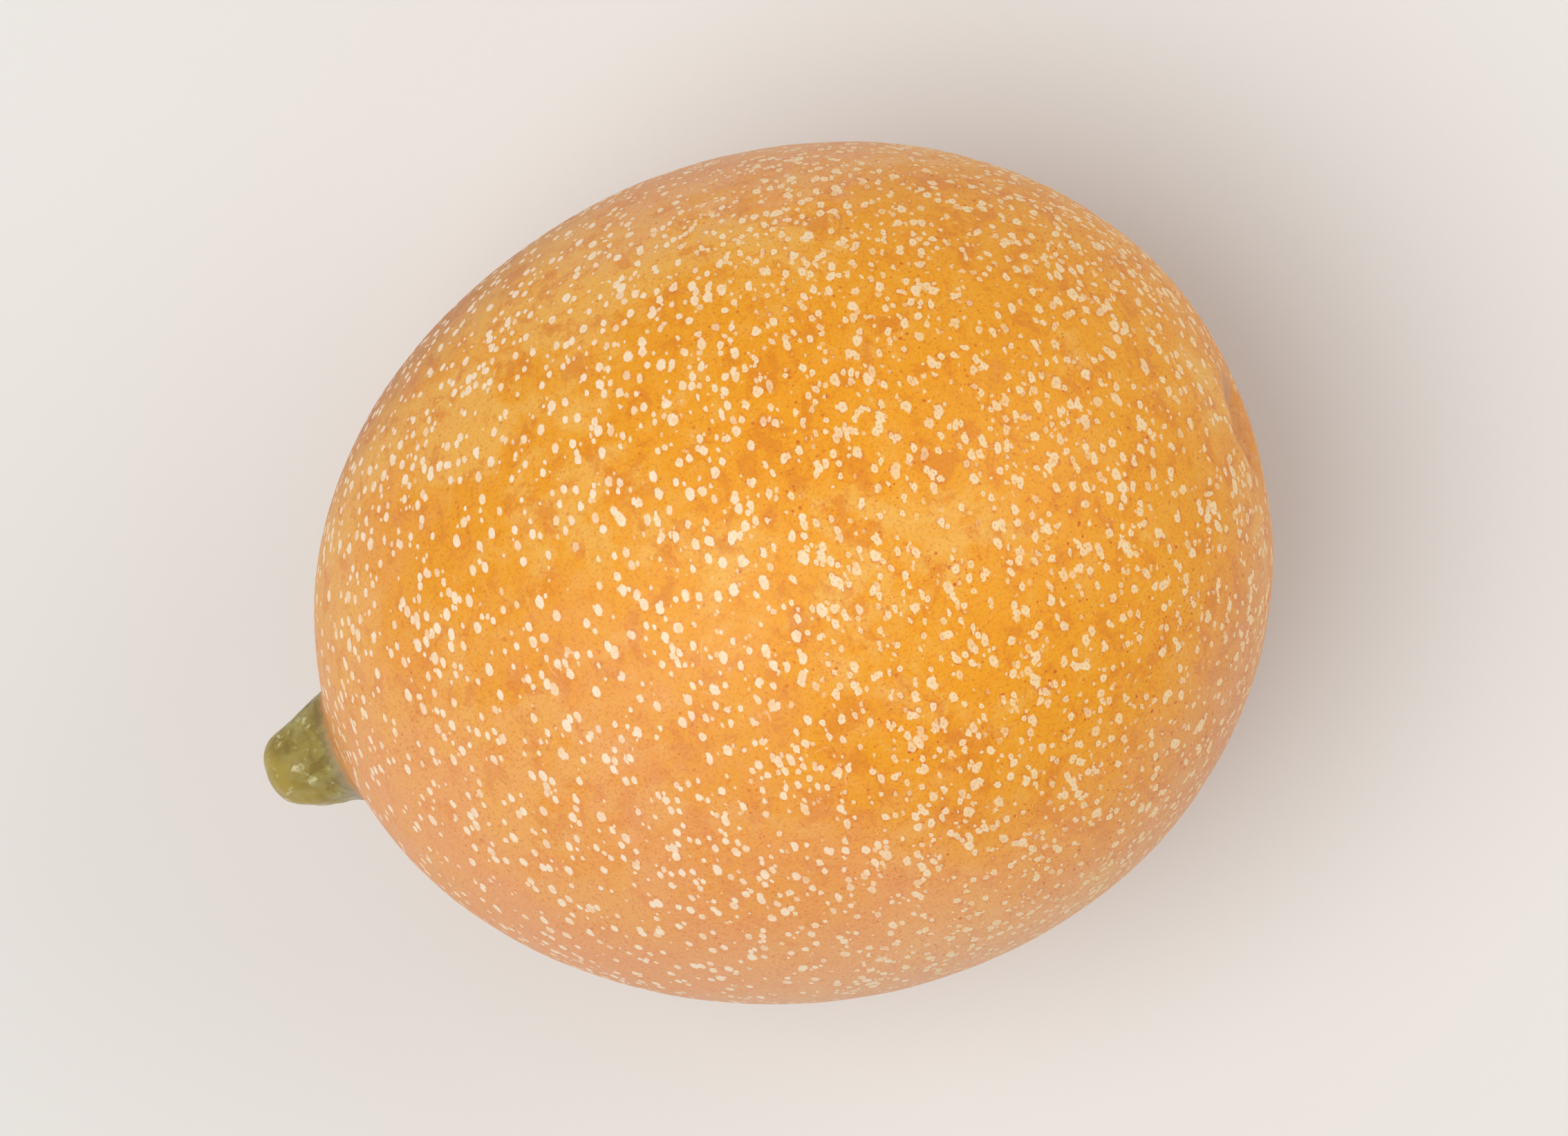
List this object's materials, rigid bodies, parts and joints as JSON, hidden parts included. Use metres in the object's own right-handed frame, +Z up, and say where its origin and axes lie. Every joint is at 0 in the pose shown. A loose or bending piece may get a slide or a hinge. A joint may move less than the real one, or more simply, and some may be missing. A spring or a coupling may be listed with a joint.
{
  "type": "granadilla",
  "caption": "Whole sweet granadilla fruit, egg-shaped and orange with pale spots, with a short stub of green stem, resting on a small flat spot.",
  "frame": {"origin": "centre of the small flat spot that the fruit rests on", "axes": "+X along the fruit from the stem end to the blossom end, +Z up"},
  "size_m": [0.0836, 0.067, 0.0667],
  "materials": {
    "rind": "satin",
    "stem": "satin"
  },
  "bodies": {
    "root": {"fruit": "rind", "stem": "stem"}
  },
  "joints": []
}
